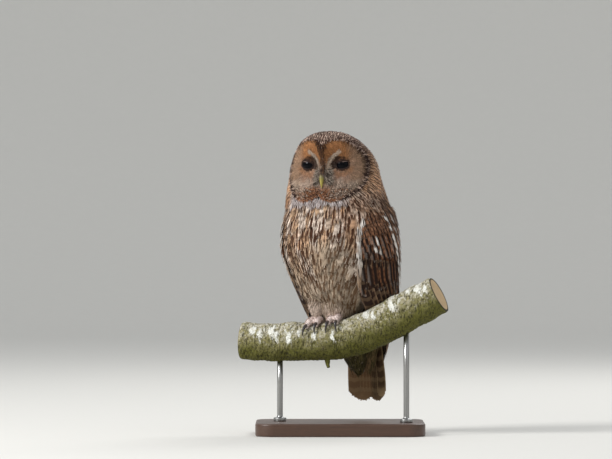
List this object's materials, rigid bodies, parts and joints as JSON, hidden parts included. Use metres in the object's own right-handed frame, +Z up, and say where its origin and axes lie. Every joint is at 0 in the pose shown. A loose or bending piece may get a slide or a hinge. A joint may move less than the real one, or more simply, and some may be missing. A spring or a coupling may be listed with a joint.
{
  "type": "tawny owl model",
  "caption": "Life-size still model of a tawny owl perched on a short cut branch, wings folded and eyes half closed, held by a plain display stand.",
  "frame": {"origin": "centre of the underside of the stand's base", "axes": "+Z up, -Y towards the side the display is seen from, +X to the viewer's right; the owl's breast turns 38 degrees from -Y towards -X"},
  "size_m": [0.2943, 0.1704, 0.424],
  "materials": {
    "plumage_head": "soft barred brown feathers",
    "plumage_breast": "soft buff feathers with dark streaks",
    "plumage_wing": "dark brown vaned feathers with pale spots",
    "plumage_tail": "brown vaned feathers with pale tips",
    "toe_feather": "short pinkish buff feathers",
    "eye": "glossy black",
    "bill_horn": "smooth yellow-green horn",
    "talon_horn": "smooth dark horn",
    "bark": "rough mossy bark with pale lichen",
    "stand_wood": "dark satin varnish",
    "stand_steel": "brushed"
  },
  "bodies": {
    "root": {"head": "plumage_head", "neck": "plumage_head", "trunk": "plumage_breast", "wing_left": "plumage_wing", "wing_right": "plumage_wing", "tail": "plumage_tail", "leg_left": "plumage_breast", "leg_right": "plumage_breast", "foot_left": "toe_feather", "foot_right": "toe_feather", "eye_left": "eye", "eye_right": "eye", "bill_upper": "bill_horn", "bill_lower": "bill_horn", "talon_left_second": "talon_horn", "talon_left_third": "talon_horn", "talon_left_first": "talon_horn", "talon_left_fourth": "talon_horn", "talon_right_second": "talon_horn", "talon_right_third": "talon_horn", "talon_right_first": "talon_horn", "talon_right_fourth": "talon_horn", "perch": "bark", "stand_base": "stand_wood", "stand_rod_left": "stand_steel", "stand_rod_right": "stand_steel"}
  },
  "joints": []
}
